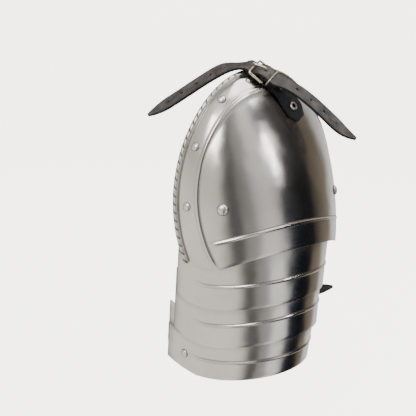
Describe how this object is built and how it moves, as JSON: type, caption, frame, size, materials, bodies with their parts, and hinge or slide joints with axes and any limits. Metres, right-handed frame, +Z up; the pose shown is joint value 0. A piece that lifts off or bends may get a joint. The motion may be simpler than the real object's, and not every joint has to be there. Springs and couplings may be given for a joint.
{
  "type": "pauldron",
  "caption": "Left shoulder defence of polished plate: a domed cop with a roped border over overlapping curved lames, hung on leathers, with a buckled shoulder strap and an arm strap.",
  "frame": {"origin": "the point of the crown's inner face that rests on the shoulder, at the middle of the mouth's top edge", "axes": "+X away from the wearer's neck, -Y to the wearer's front, +Z up; the longest way is along Z"},
  "size_m": [0.1611, 0.2703, 0.3366],
  "materials": {
    "polished_steel": "polished and lightly brushed bare steel",
    "worn_leather": "grey-brown strap leather, worn at the edges",
    "black_leather": "black leather with a soft sheen",
    "aged_nickel": "aged nickel-plated wire, browned in the corners"
  },
  "bodies": {
    "root": {"arm_buckle": "aged_nickel", "arm_buckle_tab": "black_leather", "arm_strap": "black_leather", "back_leather": "black_leather", "border_rivet_1": "polished_steel", "border_rivet_2": "polished_steel", "border_rivet_3": "polished_steel", "border_rivet_4": "polished_steel", "border_rivet_5": "polished_steel", "border_rivet_6": "polished_steel", "buckle_frame": "aged_nickel", "buckle_keeper": "aged_nickel", "buckle_tab": "black_leather", "buckle_tongue": "aged_nickel", "cop_rivet_back": "polished_steel", "cop_rivet_front": "polished_steel", "fold_rivet": "aged_nickel", "front_leather": "black_leather", "lame_rivet_back": "polished_steel", "lame_rivet_front": "polished_steel", "lower_lame": "polished_steel", "lower_lame_rivet_back": "polished_steel", "lower_lame_rivet_front": "polished_steel", "middle_lame": "polished_steel", "middle_lame_rivet_back": "polished_steel", "middle_lame_rivet_front": "polished_steel", "shoulder_cop": "polished_steel", "shoulder_strap": "worn_leather", "tab_rivet": "aged_nickel", "upper_lame": "polished_steel", "upper_lame_rivet_back": "polished_steel", "upper_lame_rivet_front": "polished_steel"}
  },
  "joints": []
}
